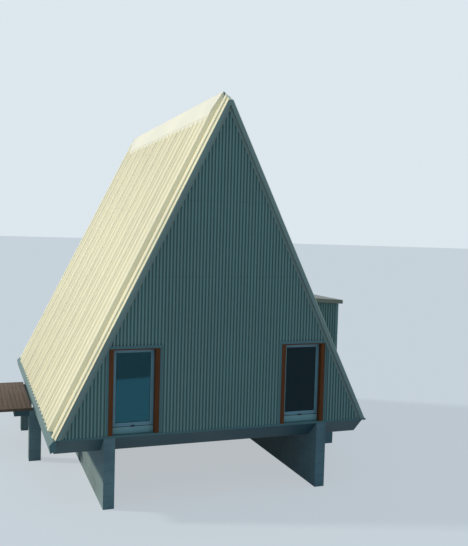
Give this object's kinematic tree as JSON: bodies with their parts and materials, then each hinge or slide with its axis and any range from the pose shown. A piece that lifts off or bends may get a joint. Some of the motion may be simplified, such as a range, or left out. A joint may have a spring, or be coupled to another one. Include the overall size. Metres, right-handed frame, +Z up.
{
  "type": "a-frame cabin",
  "caption": "A-frame cabin with ribbed metal roof slopes, ribbed gable walls, tall timber-lined windows, a raised platform on foundation walls, a side porch and a small deck.",
  "frame": {"origin": "middle of the cabin on plan, at the lowest ground under its foundation walls and piers", "axes": "+X to the right along the front gable, +Y from the front gable to the rear one, +Z up"},
  "size_m": [10.08, 11, 9.8272],
  "materials": {
    "roof_metal": "matt factory paint on folded steel",
    "trim_metal": "matt factory paint on folded steel",
    "wall_sheet": "matt factory paint on ribbed steel",
    "skirt_metal": "matt factory paint on flat steel",
    "panel_wood": "bare spruce plywood",
    "floor_wood": "oiled boards on a boarded platform",
    "lining_timber": "oiled red-brown timber",
    "window_frame": "satin white paint on aluminium",
    "window_glass": "clear double glazing",
    "concrete": "board-marked concrete",
    "deck_wood": "weathered dark boards",
    "beam_paint": "matt grey-green paint on steel"
  },
  "bodies": {
    "root": {"floor_platform": "floor_wood", "foundation_wall_left": "concrete", "foundation_wall_right": "concrete", "front_wall": "panel_wood", "rear_wall": "panel_wood", "roof_left": "panel_wood", "roof_right": "panel_wood", "front_cladding": "wall_sheet", "rear_cladding": "wall_sheet", "roof_sheets_left": "roof_metal", "roof_sheets_right": "roof_metal", "ridge_cap": "roof_metal", "front_verge_left": "trim_metal", "front_verge_right": "trim_metal", "rear_verge_left": "trim_metal", "rear_verge_right": "trim_metal", "eaves_gutter_left": "trim_metal", "eaves_trim_right": "trim_metal", "front_skirt": "skirt_metal", "rear_skirt": "skirt_metal", "front_window_linings": "lining_timber", "front_window_frames": "window_frame", "front_window_glass": "window_glass", "front_sill_panels": "skirt_metal", "front_head_flashings": "trim_metal", "rear_window_linings": "lining_timber", "rear_window_frames": "window_frame", "rear_window_glass": "window_glass", "rear_sill_panels": "skirt_metal", "rear_head_flashings": "trim_metal", "porch_floor": "floor_wood", "porch_piers": "concrete", "porch_front_wall": "panel_wood", "porch_outer_wall": "panel_wood", "porch_rear_wall": "panel_wood", "porch_cladding": "wall_sheet", "porch_roof": "panel_wood", "porch_roof_trim": "trim_metal", "porch_window_lining": "lining_timber", "porch_window_frame": "window_frame", "porch_window_glass": "window_glass", "porch_sill_panel": "skirt_metal", "porch_head_flashing": "trim_metal", "deck_boards": "deck_wood", "deck_edge_boards": "deck_wood", "deck_beams": "beam_paint", "deck_piers": "concrete"}
  },
  "joints": []
}
